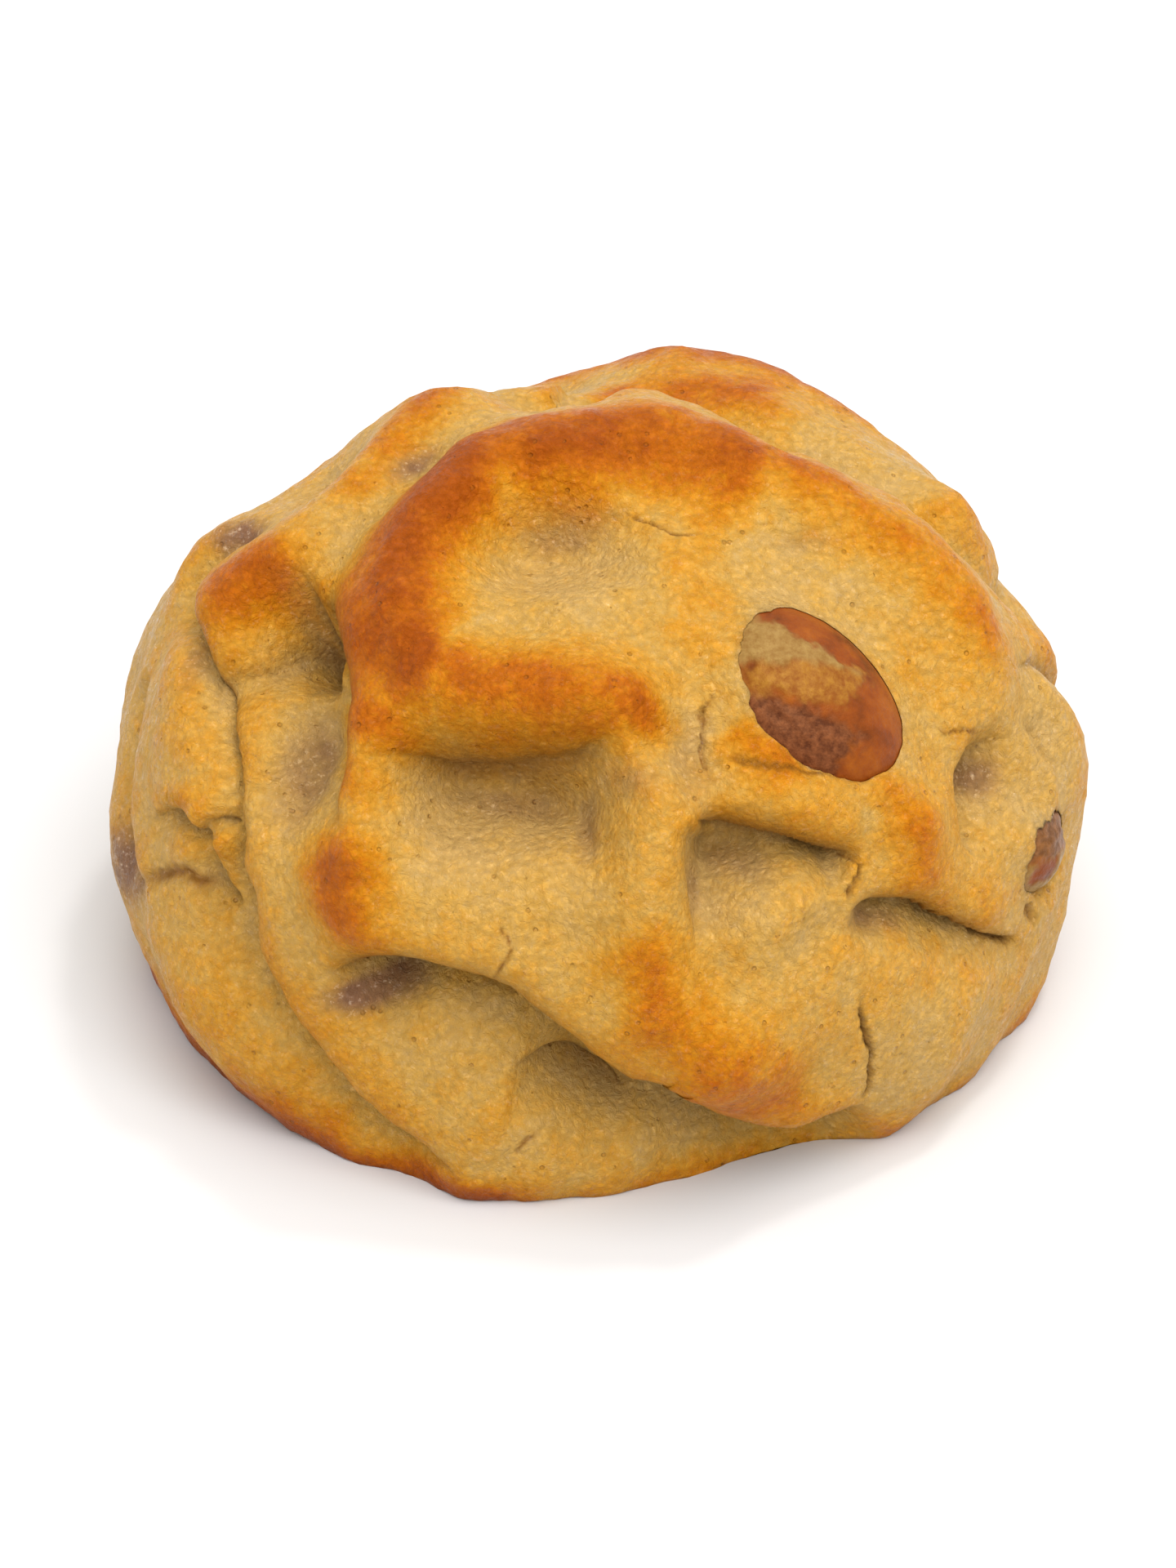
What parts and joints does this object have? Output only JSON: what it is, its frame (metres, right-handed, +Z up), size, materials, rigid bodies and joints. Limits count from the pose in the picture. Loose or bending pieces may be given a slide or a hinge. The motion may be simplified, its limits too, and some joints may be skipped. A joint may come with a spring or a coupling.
{
  "type": "filled cookie",
  "caption": "Round lumpy baked cookie, its short dough folded round a bean filling that shows through at a few gaps.",
  "frame": {"origin": "middle of the flat underside, on the surface that the cookie rests on", "axes": "+Z up; -Y towards the side that the picture shows; +X to the right as the picture shows it"},
  "size_m": [0.069, 0.0681, 0.0446],
  "materials": {
    "dough": "baked short dough, tan, browned on its ridges, with a faint shine",
    "bean": "smooth red-brown skin with a soft shine"
  },
  "bodies": {
    "root": {"dough": "dough", "bean_top": "bean", "bean_side": "bean"}
  },
  "joints": []
}
